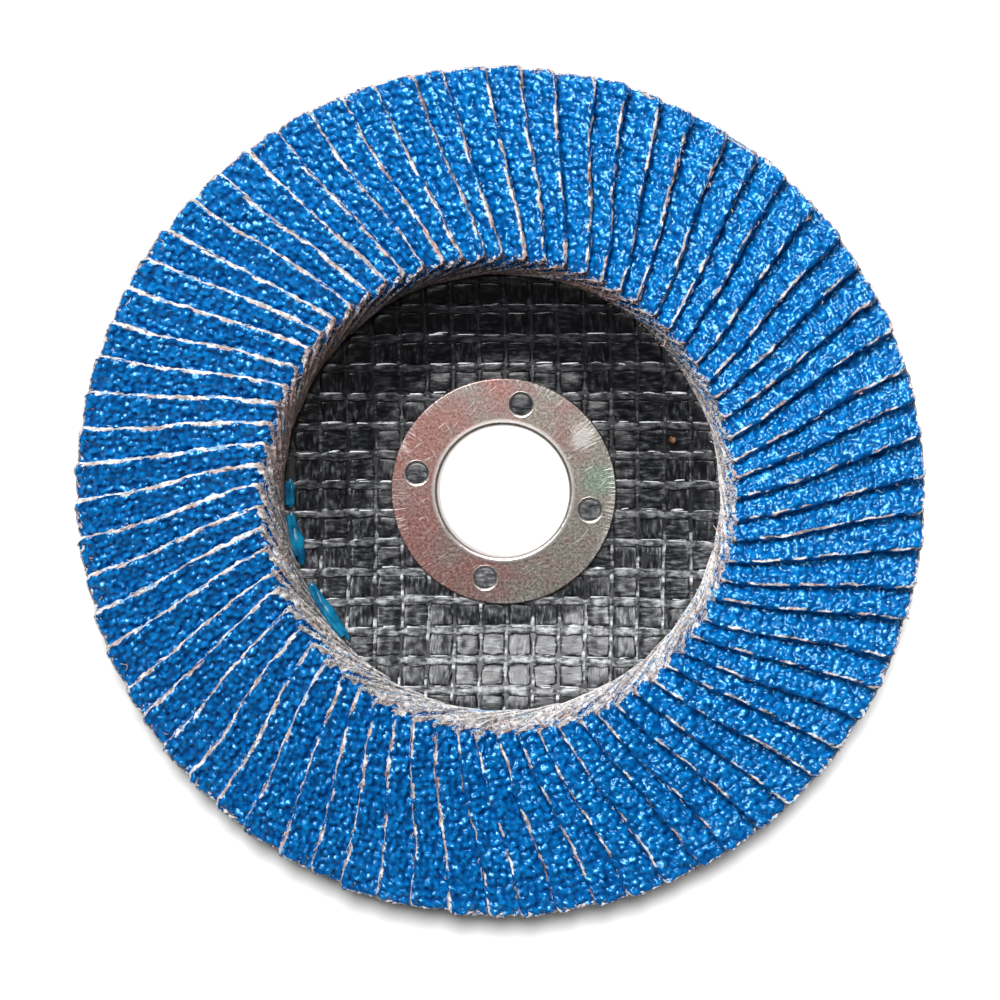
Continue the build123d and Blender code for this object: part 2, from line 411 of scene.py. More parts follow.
def fray(skin, clockwise, random):
    """Loose yarn of one flap: slack yarns, wisps and stubs down its inner end, fluff along its cut edge, now
    and then a curl, and tufts at the rim.

    Every thread starts and ends at scattered places given in the flap's own three directions.
    """
    def place(share, along, below):
        return on_flap(share, along, below, clockwise)

    uniform, normal = random.uniform, random.normal
    # Thread tints take the cut edges' and the wall's painted light and shade.
    fray_and_light, wall_unshaded = edge_fray_and_light(clockwise), 1 - 0.97 * wall_shade(clockwise)

    slack = 8
    start = uniform(-0.3, 6.5, slack) * mm
    run = uniform(0.8, 2.4, slack) * mm
    out = uniform(-0.05, 0.30, slack) * mm + wall_slant * start / flap_width
    out_end = out + wall_slant * run / flap_width + normal(0, 0.12 * mm, slack)
    depth = uniform(-0.05, 0.95, slack) * flap_thickness
    roots = place(-out / flap_length, start, depth)
    heads = place(-out_end / flap_length, start + run, depth + normal(0, 0.15 * mm, slack))
    bow = normal(0, 0.12 * mm, (slack, 3))
    dyed = np.where(uniform(0, 1, slack) < 0.16, 0.42, 1.0)
    hue = uniform(0.12, 1, slack) * wall_unshaded
    threads(skin, roots, heads, bow, uniform(0.04, 0.08, slack) * mm, hue, steps=3, bare=dyed)

    wisps = 92 - int(60 * wall_shade(clockwise))
    along = (uniform(0, 1, wisps) ** 1.4 * 9.2 - 0.2) * mm
    below = uniform(-0.05, 0.95, wisps) * flap_thickness
    out = uniform(-0.05, 0.42, wisps) * mm + wall_slant * along / flap_width
    heading = uniform(0, 2 * math.pi, wisps)
    length = uniform(0.16, 0.55, wisps) * mm
    roots = place(-out / flap_length, along, below)
    heads = place(-(out + 0.7 * length * np.sin(heading)) / flap_length, along + length * np.cos(heading),
                  below + normal(-0.05 * mm, 0.2 * mm, wisps))
    bow = normal(0, 0.05 * mm, (wisps, 3))
    dyed = np.where(uniform(0, 1, wisps) < 0.16, 0.42, 1.0)
    warm = np.where(uniform(0, 1, wisps) < 0.28, uniform(0.14, 0.28, wisps), uniform(0.50, 0.86, wisps))
    hue = np.where(uniform(0, 1, wisps) < 0.28, 0.95, warm) * wall_unshaded
    threads(skin, roots, heads, bow, uniform(0.03, 0.07, wisps) * mm, hue, steps=1, bare=dyed)

    stubs = 12
    along = uniform(-0.1, 5.0, stubs) * mm
    below = uniform(0.2, 0.9, stubs) * flap_thickness
    length = uniform(0.2, 0.6, stubs) * mm + wall_slant * along / flap_width
    roots = place(0.01, along, below)
    heads = place(-length / flap_length, along + normal(0, 0.5 * mm, stubs),
                  below + normal(-0.1 * mm, 0.2 * mm, stubs))
    bow = normal(0, 0.12 * mm, (stubs, 3))
    hue = uniform(0, 1, stubs) * wall_unshaded
    threads(skin, roots, heads, bow, uniform(0.03, 0.07, stubs) * mm, hue, steps=3)

    fluff = 2 + int(24 * fray_and_light)
    share = uniform(0.0, 1.0, fluff)
    roots = place(share, 0.12 * mm, uniform(0.4, 0.8, fluff) * flap_thickness)
    heads = place(share + normal(0, 0.025, fluff), uniform(-0.30, 0.25, fluff) * mm,
                  uniform(0.1, 0.7, fluff) * flap_thickness)
    bow = normal(0, 0.1 * mm, (fluff, 3))
    hue = edge_tint(uniform(0.1, 0.9, fluff), fray_and_light)
    threads(skin, roots, heads, bow, uniform(0.04, 0.09, fluff) * mm, hue, steps=2)

    curls = int(uniform(0, 1) < 0.16)
    along = uniform(0.5, 3.0, curls) * mm
    roots = place(0.005, along, 0.1 * mm)
    heads = place(-uniform(0.5, 1.5, curls) * mm / flap_length, along + normal(0, 1.4 * mm, curls),
                  uniform(-0.5, 0.5, curls) * mm)
    bow = normal(0, 0.4 * mm, (curls, 3))
    threads(skin, roots, heads, bow, uniform(0.07, 0.12, curls) * mm, uniform(0.1, 0.3, curls),
            steps=8, taper=0.3)

    tufts = 6
    along = uniform(0.2, 4.2, tufts) * mm
    depth = uniform(0.3, 0.8, tufts) * flap_thickness
    roots = place(0.995, along, depth)
    heads = place(1 + uniform(0.2, 0.5, tufts) * mm / flap_length, along + normal(0, 0.6 * mm, tufts),
                  depth + normal(0, 0.2 * mm, tufts))
    bow = normal(0, 0.1 * mm, (tufts, 3))
    threads(skin, roots, heads, bow, uniform(0.05, 0.10, tufts) * mm, uniform(0.0, 0.7, tufts), steps=2)


def plate_height(radius):
    """Height of the plate's top: flat hub, a bend, the 23 degree cone, a wider bend and the flat flange."""
    foot_tangent = dish_foot_bend * math.tan(dish_slope / 2)
    top_tangent = dish_top_bend * math.tan(dish_slope / 2)
    into_foot = np.clip(radius - (dish_foot_radius - foot_tangent), 0, dish_foot_bend * math.sin(dish_slope))
    foot = dish_foot_bend - np.sqrt(dish_foot_bend**2 - into_foot**2)
    out_of_top = np.clip(dish_top_radius + top_tangent - radius, 0, dish_top_bend * math.sin(dish_slope))
    top = dish_top_bend - np.sqrt(dish_top_bend**2 - out_of_top**2)
    cone = (radius - dish_foot_radius) * math.tan(dish_slope)
    on_foot = radius < dish_foot_radius + foot_tangent * math.cos(dish_slope)
    on_top = radius > dish_top_radius - top_tangent * math.cos(dish_slope)
    return np.where(on_foot, hub_top + foot, np.where(on_top, plate_top - top, hub_top + cone))


# Adhesive that shows at the foot of the flaps, start and sweep in degrees clockwise from +Y
glue_stretches = ((226.0, 19.0), (250.0, 15.0), (266.0, 8.0))
glue_radius = 25.7 * mm
glue_lump = 0.68 * mm

# Grip holes of the hub ring, which bosses of the plate fill part way
grip_hole_count = 4
grip_hole_phase = 12.0
grip_hole_radius = 1.475 * mm
grip_circle_radius = 10.8 * mm
grip_boss = 0.42 * mm
lip_width = 0.40 * mm
lip_depth = 0.20 * mm
lip_overlap = 0.16 * mm  # of the worn lip onto the ring's face

# Crumb of uncoloured resin on the plate
crumb_x = 20.6 * mm
crumb_y = 6.3 * mm
crumb_radius = 0.42 * mm

# Glass mesh moulded into the plate's face
strand_pitch_x = 3.2 * mm
strand_pitch_y = 3.55 * mm
mesh_shift_x = 0.35 * mm
mesh_shift_y = 0.9 * mm
mesh_inner = 13.5 * mm
mesh_outer = 27.4 * mm
strand_profile_side = np.array([1.0, 0.80, 0.30, -0.30, -0.80, -1.0, -0.9, 0.9])
strand_profile_rise = np.array([0.50, 0.92, 1.0, 1.0, 0.92, 0.50, -1.0, -1.0])


def strand(skin, place, low, high, across, random):
    """One flat strand between two ends: a flat-topped profile carried along a path that rides the weave.

    across is 0 for a weft strand, which swells between the warps, and 1 for a warp strand, which rises in
    knots, humps of exp(-x^2), above and below some of the wefts. Knots are painted pale, a painted highlight,
    and are larger toward the disc's -Y side, where the plate is lit.
    """
    steps = max(3, int((high - low) / (0.3 * mm)))
    sides = len(strand_profile_side)
    run = np.linspace(low, high, steps + 1)
    salt = random.uniform(0, 900)
    drift = 0.16 * waves(run / (5 * mm), 0, salt) + 0.05 * waves(run / (0.9 * mm), 0, salt + 1)
    line = place + drift * mm
    pitch, shift = (strand_pitch_x, mesh_shift_x) if across == 0 else (strand_pitch_y, mesh_shift_y)
    phase = (run - shift) / pitch
    past = (phase - np.round(phase)) * pitch
    if across == 0:
        knot = 0 * run
        dip = np.exp(-((past / (0.36 * mm)) ** 2))
        half_width = (0.52 - 0.18 * dip) * mm + 0.10 * mm * waves(run / (1.7 * mm), 0, salt + 2)
        half_depth = (0.20 - 0.06 * dip) * mm
        lift = (0.13 - 0.24 * dip) * mm + 0.07 * mm * waves(run / (1.6 * mm), 0, salt + 3)
    else:
        above, below = lattice(np.round(phase), place / mm, 3), lattice(np.round(phase), place / mm, 4)
        knot_above = np.exp(-((past - 0.85 * mm) / (0.46 * mm)) ** 2) * np.where(above > 0.45, above, 0)
        knot_below = np.exp(-((past + 0.80 * mm) / (0.40 * mm)) ** 2) * np.where(below > 0.65, below, 0)
        bold_toward_lit_side = blended((2 * mm - run) / (14 * mm))
        knot = np.maximum(knot_above, knot_below) * (0.12 + 0.88 * bold_toward_lit_side)
        half_width = (0.22 - 0.04 * knot) * mm + 0.05 * mm * waves(run / (0.8 * mm), 0, salt + 2)
        half_depth = (0.10 + 0.06 * knot) * mm
        lift = (-0.11 + 0.40 * knot) * mm + 0.05 * mm * waves(run / (1.4 * mm), 0, salt + 3)
    rough = 1 + 0.16 * waves(run[:, None] / (1.1 * mm), 3.0 * strand_profile_side[None], salt + 4)
    sideways = line[:, None] + half_width[:, None] * strand_profile_side * rough
    onward = np.broadcast_to(run[:, None], sideways.shape)
    x, y = (onward, sideways) if across == 0 else (sideways, onward)
    z = plate_height(np.hypot(x, y)) + lift[:, None] + half_depth[:, None] * strand_profile_rise * rough
    near_cap = np.array([[0, 3, 2, 1], [0, 7, 4, 3], [7, 6, 5, 4]])
    far_cap = np.array([[0, 1, 2, 3], [0, 3, 4, 7], [4, 5, 6, 7]]) + steps * sides
    faces = np.concatenate([grid_faces(steps + 1, sides, width_closes=True, flip=True), near_cap, far_cap])
    if across == 1:
        faces = faces[:, ::-1]
    # Knots are painted pale toward the white of drawn glass: a painted highlight.
    skin.add(np.stack([x, y, z], axis=-1), faces, grain=0.5 + 0.5 * across, tint=random.uniform(0, 1),
             bare=np.repeat(1.0 + 0.5 * knot, sides))


def bright_fibres(skin, place, low, high, random):
    """Short lengths of drawn-up glass along the upper edge of a weft strand, each between two crossings."""
    first = math.floor((low - mesh_shift_x) / strand_pitch_x)
    last = math.ceil((high - mesh_shift_x) / strand_pitch_x)
    middle = np.repeat((np.arange(first, last) + 0.5) * strand_pitch_x + mesh_shift_x, 2)
    count = len(middle)
    half = random.uniform(0.35, 1.25, count) * mm
    middle = middle + random.uniform(-0.3, 0.3, count) * mm
    side = place + random.uniform(0.30, 0.50, count) * mm
    start, end = np.maximum(middle - half, low), np.minimum(middle + half, high)
    roots = np.stack([start, side, np.zeros(count)], axis=-1)
    heads = np.stack([end, side + random.normal(0, 0.07 * mm, count), np.zeros(count)], axis=-1)
    for ends in (roots, heads):
        ends[:, 2] = plate_height(np.hypot(ends[:, 0], ends[:, 1])) + random.uniform(0.22, 0.32, count) * mm
    bow = np.stack([np.zeros(count), random.normal(0.03 * mm, 0.04 * mm, count), np.full(count, 0.04 * mm)],
                   axis=-1)
    # White fibres thin out toward +Y, a painted shadow of the flaps' wall.
    unshadowed_share = 0.75 * blended((20.5 * mm - place) / (5 * mm))
    keep = ((end - start) > 0.4 * mm) & (random.uniform(0, 1, count) < unshadowed_share)
    threads(skin, roots[keep], heads[keep], bow[keep], random.uniform(0.05, 0.12, keep.sum()) * mm,
            random.uniform(0, 1, keep.sum()), steps=4, taper=0.3, bare=1.6)


def spans(place):
    """The stretches of a strand between the hub ring and the foot of the flaps."""
    if abs(place) >= mesh_outer - 1 * mm:
        return []
    far = math.sqrt(mesh_outer**2 - place**2)
    if abs(place) >= mesh_inner:
        return [(-far, far)]
    near = math.sqrt(mesh_inner**2 - place**2)
    return [(-far, -near), (near, far)]


def pad(skin, x, y, random, lift=0.0, bare=0.0):
    """Resin-soaked glass behind one opening of the mesh: a low cushion with streaks, closed below.

    Its height is (1 - u^4)(1 - v^4) * (a level + streaks along u or v), with u and v from -1 to 1.
    """
    count = 10
    half_x, half_y = 0.5 * strand_pitch_x - 0.13 * mm, 0.5 * strand_pitch_y - 0.42 * mm
    side = np.linspace(-1, 1, count + 1)
    u, v = np.meshgrid(side, side, indexing="ij")
    salt = random.uniform(0, 900)
    turn = random.normal(0, 0.05)
    bulge = 1 + 0.10 * waves(u * 1.5, v * 1.5, salt)
    along_x = u * half_x * np.sqrt(1 - 0.22 * v * v) * bulge
    along_y = v * half_y * np.sqrt(1 - 0.22 * u * u) * bulge
    across = x + along_x * math.cos(turn) - along_y * math.sin(turn)
    upward = y + along_x * math.sin(turn) + along_y * math.cos(turn)
    upright = lattice(round(x / strand_pitch_x), round(y / strand_pitch_y), 5) > 0.5
    streak = waves(u * 4, v * 1.2, salt + 1) if upright else waves(u * 1.2, v * 4, salt + 1)
    lumpy = 0.09 + 0.035 * streak + 0.06 * waves(u * 1.7, v * 1.7, salt + 2) + random.normal(0, 0.02)
    lean = 0.03 * (random.normal() * u + random.normal() * v)
    rise = (1 - u**4) * (1 - v**4) * (lumpy + lean) * mm
    ground = plate_height(np.hypot(across, upward)) + lift
    top = np.stack([across, upward, ground + 0.02 * mm + rise], axis=-1)
    under = np.stack([across, upward, ground - 0.08 * mm], axis=-1)
    width = count + 1
    face = grid_faces(width, width)
    low = width * width
    edge = np.arange(count)[:, None]
    left = edge + [0, 1, low + 1, low]
    right = edge + [1, 0, low, low + 1] + count * width
    front = edge * width + [width, 0, low, low + width]
    back = edge * width + [0, width, low + width, low] + count
    faces = np.concatenate([face, face[:, ::-1] + low, left, right, front, back])
    skin.add(np.concatenate([top.reshape(-1, 3), under.reshape(-1, 3)]), faces,
             grain=0.0, tint=random.uniform(0, 1), bare=bare)


def grip_holes():
    """The middle of each grip hole."""
    for hole in range(grip_hole_count):
        turn = math.radians(90 - grip_hole_phase - 360 * hole / grip_hole_count)
        yield grip_circle_radius * math.cos(turn), grip_circle_radius * math.sin(turn)


def make_glass_mesh(material):
    """The open mesh on the plate's face: weft strands, warp strands over them, and a pad in each opening.

    The grip holes show a pad each too.
    """
    random = np.random.default_rng(412)
    skin = Skin()
    reach_x = int(mesh_outer / strand_pitch_x) + 1
    reach_y = int(mesh_outer / strand_pitch_y) + 1
    columns_of_warp, rows_of_weft = range(-reach_x, reach_x + 1), range(-reach_y, reach_y + 1)
    for row in rows_of_weft:
        place = row * strand_pitch_y + mesh_shift_y
        for low, high in spans(place):
            strand(skin, place, low, high, 0, random)
            bright_fibres(skin, place, low, high, random)
    for column in columns_of_warp:
        place = column * strand_pitch_x + mesh_shift_x
        for low, high in spans(place):
            strand(skin, place, low, high, 1, random)
    for row in rows_of_weft:
        for column in columns_of_warp:
            x = (column + 0.5) * strand_pitch_x + mesh_shift_x
            y = (row + 0.5) * strand_pitch_y + mesh_shift_y
            if mesh_inner - 1 * mm < math.hypot(x, y) < mesh_outer - 0.5 * mm:
                pad(skin, x, y, random)
    for x, y in grip_holes():
        pad(skin, x, y, random, grip_boss, 0.6)
    made = skin.piece("glass_mesh", material)


def make_glue_lumps(material):
    """Adhesive squeezed out under the flaps: along each stretch an oval profile swells and shrinks in lumps.

    The profile's radius is lump * sqrt(sin(pi s)) * (1 + noise) over the stretch's share s.
    """
    skin = Skin()
    for start, sweep in glue_stretches:
        steps, sides = int(sweep * 5), 12
        share = np.linspace(0.004, 0.996, steps + 1)
        clockwise = start + sweep * share
        swell = np.sqrt(np.sin(math.pi * share)) * (1 + 0.35 * waves(clockwise / 3.1, 0, start))
        angle = 2 * math.pi * np.arange(sides) / sides
        uneven = 1 + 0.16 * waves(clockwise[:, None] / 1.9, 1.2 * np.cos(angle), start + 3)
        girth = glue_lump * swell[:, None] * uneven
        radius = glue_radius + 1.15 * girth * np.cos(angle)
        height = plate_height(np.full_like(radius, glue_radius)) + 0.2 * mm + 0.6 * girth * np.sin(angle)
        turn = np.radians(90 - clockwise)[:, None]
        points = np.stack([radius * np.cos(turn), radius * np.sin(turn), height], axis=-1)
        quads = grid_faces(steps + 1, sides, width_closes=True)
        skin.add(points, quads, end_fans(sides, steps * sides))
    made = skin.piece("glue_lumps", material)


def feed(tree, node, inputs):
    """Give each input of a node a value, or a link from another node."""
    for key, value in inputs.items():
        if isinstance(value, bpy.types.NodeSocket):
            tree.links.new(value, node.inputs[key])
        else:
            node.inputs[key].default_value = value


def add(tree, kind, inputs=None, **settings):
    """A shader node with its settings made and its inputs fed."""
    made = tree.nodes.new("ShaderNode" + kind)
    for key, value in settings.items():
        setattr(made, key, value)
    feed(tree, made, inputs or {})
    return made


def rgba(colour):
    """A link as it is, or a colour given by three numbers or by one grey level."""
    if isinstance(colour, bpy.types.NodeSocket):
        return colour
    return (*colour, 1.0) if isinstance(colour, tuple) else (colour, colour, colour, 1.0)


def ramp(tree, factor, *stops):
    """The colour at each place of a factor, from (place, colour) stops."""
    made = add(tree, "ValToRGB", {"Fac": factor})
    elements = made.color_ramp.elements
    while len(elements) < len(stops):
        elements.new(0.5)
    for element, (place, colour) in zip(elements, stops):
        element.position = place
        element.color = rgba(colour)
    return made.outputs["Color"]


def blend_colours(tree, factor, first, second, mode="MIX"):
    """Two colours mixed by a factor, or joined in another mode."""
    inputs = {0: factor, 6: rgba(first), 7: rgba(second)}
    return add(tree, "Mix", inputs, data_type="RGBA", blend_type=mode).outputs[2]


def calc(tree, operation, *values):
    """One sum on numbers."""
    return add(tree, "Math", dict(enumerate(values)), operation=operation).outputs[0]


def calc_vector(tree, operation, *values):
    """One sum on vectors. It gives a number if it is a length."""
    made = add(tree, "VectorMath", dict(enumerate(values)), operation=operation)
    return made.outputs["Value" if operation == "LENGTH" else "Vector"]


def share_between(tree, value, low, high):
    """How far a number has come from low to high, from 0 to 1."""
    return add(tree, "MapRange", {0: value, 1: low, 2: high}).outputs[0]


def noise(tree, place, scale, detail=2.0, roughness=0.5):
    """A cloud of numbers round one half, with scale waves to a metre."""
    inputs = {"Vector": place, "Scale": scale, "Detail": detail, "Roughness": roughness}
    return add(tree, "TexNoise", inputs).outputs["Fac"]


def own_number(tree, name):
    """A number that each point of the mesh carries."""
    return add(tree, "Attribute", attribute_name=name).outputs["Fac"]


def bump(tree, height, strength, distance, over=None):
    """A surface direction roughened by a height, on top of another roughening."""
    inputs = {"Height": height, "Strength": strength, "Distance": distance}
    if over is not None:
        inputs["Normal"] = over
    return add(tree, "Bump", inputs).outputs[0]


def empty_material(name):
    """A material with nothing in its tree of nodes, and the tree."""
    material = bpy.data.materials.new(name)
    material.use_nodes = True
    material.node_tree.nodes.clear()
    return material, material.node_tree


def start_material(name):
    """A material with one surface shader, and the object's own coordinates to pattern it."""
    material, tree = empty_material(name)
    shader = add(tree, "BsdfPrincipled")
    add(tree, "OutputMaterial", {"Surface": shader.outputs[0]})
    place = add(tree, "TexCoord").outputs["Object"]
    return material, tree, shader, place


def make_hole_lips(material):
    """The punched-in, worn lip of each grip hole: a bent profile turned about the hole's axis. Its pale
    paint is partly wear and partly a painted highlight.

    The profile falls by depth * s^2 over its share s from the rim inward.
    """
    skin = Skin()
    share = np.linspace(0, 1, 7)
    radius = grip_hole_radius + lip_overlap - lip_width * share
    height = ring_top + 0.006 * mm - lip_depth * share**2
    radius, height = np.append(radius, radius[0]), np.append(height, height[-1])
    sides = 64
    angle = (2 * math.pi * np.arange(sides) / sides)[:, None]
    for hole, (middle_x, middle_y) in enumerate(grip_holes()):
        uneven = 1 + 0.02 * waves(4 * np.cos(angle), 4 * np.sin(angle), hole)
        x = middle_x + radius * uneven * np.cos(angle)
        y = middle_y + radius * uneven * np.sin(angle)
        points = np.stack([x, y, np.broadcast_to(height, x.shape)], axis=-1)
        faces = grid_faces(sides, len(radius), rows_close=True, width_closes=True, flip=True)
        # The lips are painted pale tin: partly wear, partly a painted highlight.
        skin.add(points, faces, bare=0.75)
    made = skin.piece("hole_lips", material)


def make_speck(material):
    """A crumb of brown resin on the plate: a ball whose radius is noise on its own angles."""
    skin = Skin()
    turns, steps = 20, 10
    around = (2 * math.pi * np.arange(turns) / turns)[None]
    down = (math.pi * np.linspace(0.02, 0.98, steps + 1))[:, None]
    lumpy = waves(2.2 * np.cos(around) + 0 * down, 1.7 * np.sin(around) + 2.1 * down, 8)
    size = crumb_radius * (1 + 0.30 * lumpy)
    x = crumb_x + 0.9 * size * np.sin(down) * np.cos(around)
    y = crumb_y + size * np.sin(down) * np.sin(around)
    z = plate_height(np.hypot(x, y)) + 0.25 * mm + 0.6 * size * np.cos(down)
    quads = grid_faces(steps + 1, turns, width_closes=True)
    skin.add(np.stack([x, y, z], axis=-1), quads, end_fans(turns, steps * turns))
    made = skin.piece("resin_crumb", material)


def mottled(name, cloud, dark, pale, roughness, rise, depth):
    """A smooth material whose colour, between two stops, and surface follow one cloud of noise."""
    material, tree, shader, place = start_material(name)
    mottle = noise(tree, place, *cloud)
    feed(tree, shader, {"Base Color": ramp(tree, mottle, dark, pale), "Roughness": roughness,
                        "Normal": bump(tree, mottle, rise, depth)})
    return material


def brown_resin():
    """Orange-brown uncoloured phenolic resin with a slight mottle."""
    return mottled("brown_resin", (2200.0, 3.0), (0.38, (0.10, 0.045, 0.022)), (0.62, (0.30, 0.14, 0.07)),
                   roughness=0.45, rise=0.4, depth=0.1 * mm)


def dark_resin():
    """Near-black phenolic resin with a mild mottle and a waxy gloss."""
    return mottled("dark_phenolic_resin", (420.0, 4.0, 0.6), (0.3, (0.006, 0.006, 0.007)),
                   (0.7, (0.022, 0.023, 0.026)), roughness=0.42, rise=0.4, depth=0.1 * mm)


def teal_adhesive():
    """Cured blue-green epoxy, smooth with a slight haze."""
    return mottled("teal_adhesive", (600.0, 3.0), (0.35, (0.0, 0.08, 0.19)), (0.65, (0.004, 0.24, 0.43)),
                   roughness=0.22, rise=0.3, depth=0.2 * mm)


def coated_cloth():
    """Blue resin-coated grain, and raw cotton-polyester cloth where the number bare says so.

    The blue is painted paler on the grain's tops and darker in its hollows, a painted highlight and shade.
    Its gloss is broken up by small tilted facets.
    """
    material, tree, shader, place = start_material("coated_abrasive_cloth")
    crest_paint_scatter = calc(tree, "MULTIPLY_ADD", noise(tree, place, 700.0, 3.0), 0.7, 0.65)
    # Grain tops painted paler and hollows darker by height: a painted highlight and shade.
    blue = ramp(tree, calc(tree, "MULTIPLY", own_number(tree, "grain"), crest_paint_scatter),
                (0.05, (0.0001, 0.080, 0.315)), (0.50, (0.0005, 0.146, 0.49)), (0.92, (0.002, 0.240, 0.69)))
    cloth = ramp(tree, noise(tree, place, 2300.0, 3.0, 0.6),
                 (0.28, (0.17, 0.16, 0.165)), (0.38, (0.66, 0.63, 0.62)), (0.49, (0.97, 0.96, 0.96)))
    warm = ramp(tree, own_number(tree, "tint"),
                (0.0, (0.055, 0.034, 0.028)), (0.09, (0.46, 0.26, 0.19)), (0.22, (0.84, 0.60, 0.53)),
                (0.36, (0.46, 0.42, 0.41)), (0.56, (0.94, 0.87, 0.82)),
                (0.84, (1.0, 0.96, 0.93)), (0.92, (0.30, 0.55, 0.86)))
    cloth = blend_colours(tree, 1.0, cloth, warm, "MULTIPLY")
    ragged = calc(tree, "ADD", own_number(tree, "bare"), noise(tree, place, 2600.0, 2.0))
    cover = ramp(tree, ragged, (0.90, 0), (1.15, 1))

    crystals = bump(tree, noise(tree, place, 1250.0, 0.0, 0.4), 1.0, 0.35 * mm)
    grit = bump(tree, noise(tree, place, 5200.0, 2.0), 0.2, 0.05 * mm, crystals)
    facets = add(tree, "TexVoronoi", {"Vector": place, "Scale": 1900.0}).outputs["Color"]
    tilt = calc_vector(tree, "SUBTRACT", facets, (0.5, 0.5, 0.5))
    tilted = calc_vector(tree, "MULTIPLY_ADD", tilt, (0.55, 0.55, 0.55), grit)
    feed(tree, shader, {
        "Base Color": blend_colours(tree, cover, blue, cloth),
        "Roughness": ramp(tree, cover, (0.0, 0.19), (1.0, 0.85)),
        "Specular Tint": (0.32, 0.74, 1.0, 1.0),
        "Specular IOR Level": 1.0,
        "IOR": 1.62,
        "Normal": calc_vector(tree, "NORMALIZE", tilted),
    })
    return material


def woven_glass():
    """Streaked resin pads (bare 0), glass strands (1) and white drawn-up glass (over 1) under glossy resin.

    The resin is painted darker toward the disc's +Y side, a painted shadow of the flaps' wall.
    """
    material, tree, shader, place = start_material("resin_soaked_glass")
    bare, tint = own_number(tree, "bare"), own_number(tree, "tint")
    long_x = add(tree, "Mapping", {"Vector": place, "Scale": (650.0, 2700.0, 800.0)}).outputs[0]
    long_y = add(tree, "Mapping", {"Vector": place, "Scale": (2700.0, 650.0, 800.0)}).outputs[0]
    streak_x, streak_y = noise(tree, long_x, 1.0, 3.0, 0.6), noise(tree, long_y, 1.0, 3.0, 0.6)
    streak = blend_colours(tree, ramp(tree, tint, (0.45, 0), (0.55, 1)), streak_x, streak_y)
    pads = ramp(tree, streak,
                (0.38, (0.010, 0.011, 0.015)), (0.52, (0.06, 0.063, 0.074)), (0.64, (0.26, 0.27, 0.285)))
    strands = ramp(tree, streak_x,
                   (0.32, (0.04, 0.042, 0.048)), (0.46, (0.17, 0.175, 0.185)), (0.60, (0.50, 0.51, 0.52)))
    drawn = ramp(tree, streak_x, (0.36, (0.30, 0.30, 0.32)), (0.50, (0.80, 0.82, 0.86)), (0.68, 1))
    mottle = ramp(tree, noise(tree, place, 1000.0, 3.0, 0.6), (0.38, (0.25, 0.25, 0.27)), (0.60, 1))
    pads = blend_colours(tree, 1.0, pads, mottle, "MULTIPLY")
    strands = blend_colours(tree, 1.0, strands, mottle, "MULTIPLY")
    glass = blend_colours(tree, ramp(tree, bare, (0.3, 0), (0.7, 1)), pads, strands)
    across = add(tree, "SeparateXYZ", {0: place}).outputs["Y"]
    # Painted shadow of the flaps' wall over the plate's +Y side.
    painted_wall_shadow = ramp(tree, share_between(tree, across, -16 * mm, 20 * mm),
                (0.0, 1), (0.45, (0.47, 0.47, 0.48)), (1.0, (0.13, 0.13, 0.15)))
    glass = blend_colours(tree, 1.0, glass, painted_wall_shadow, "MULTIPLY")
    feed(tree, shader, {
        "Base Color": blend_colours(tree, share_between(tree, bare, 1.05, 1.55), glass, drawn),
        "Roughness": 0.30,
        "Normal": bump(tree, streak, 0.4, 0.12 * mm),
    })
    return material


def distance_from(tree, place, x, y, z):
    """How far a place is from a point."""
    return calc_vector(tree, "LENGTH", calc_vector(tree, "ADD", place, (-x, -y, -z)))


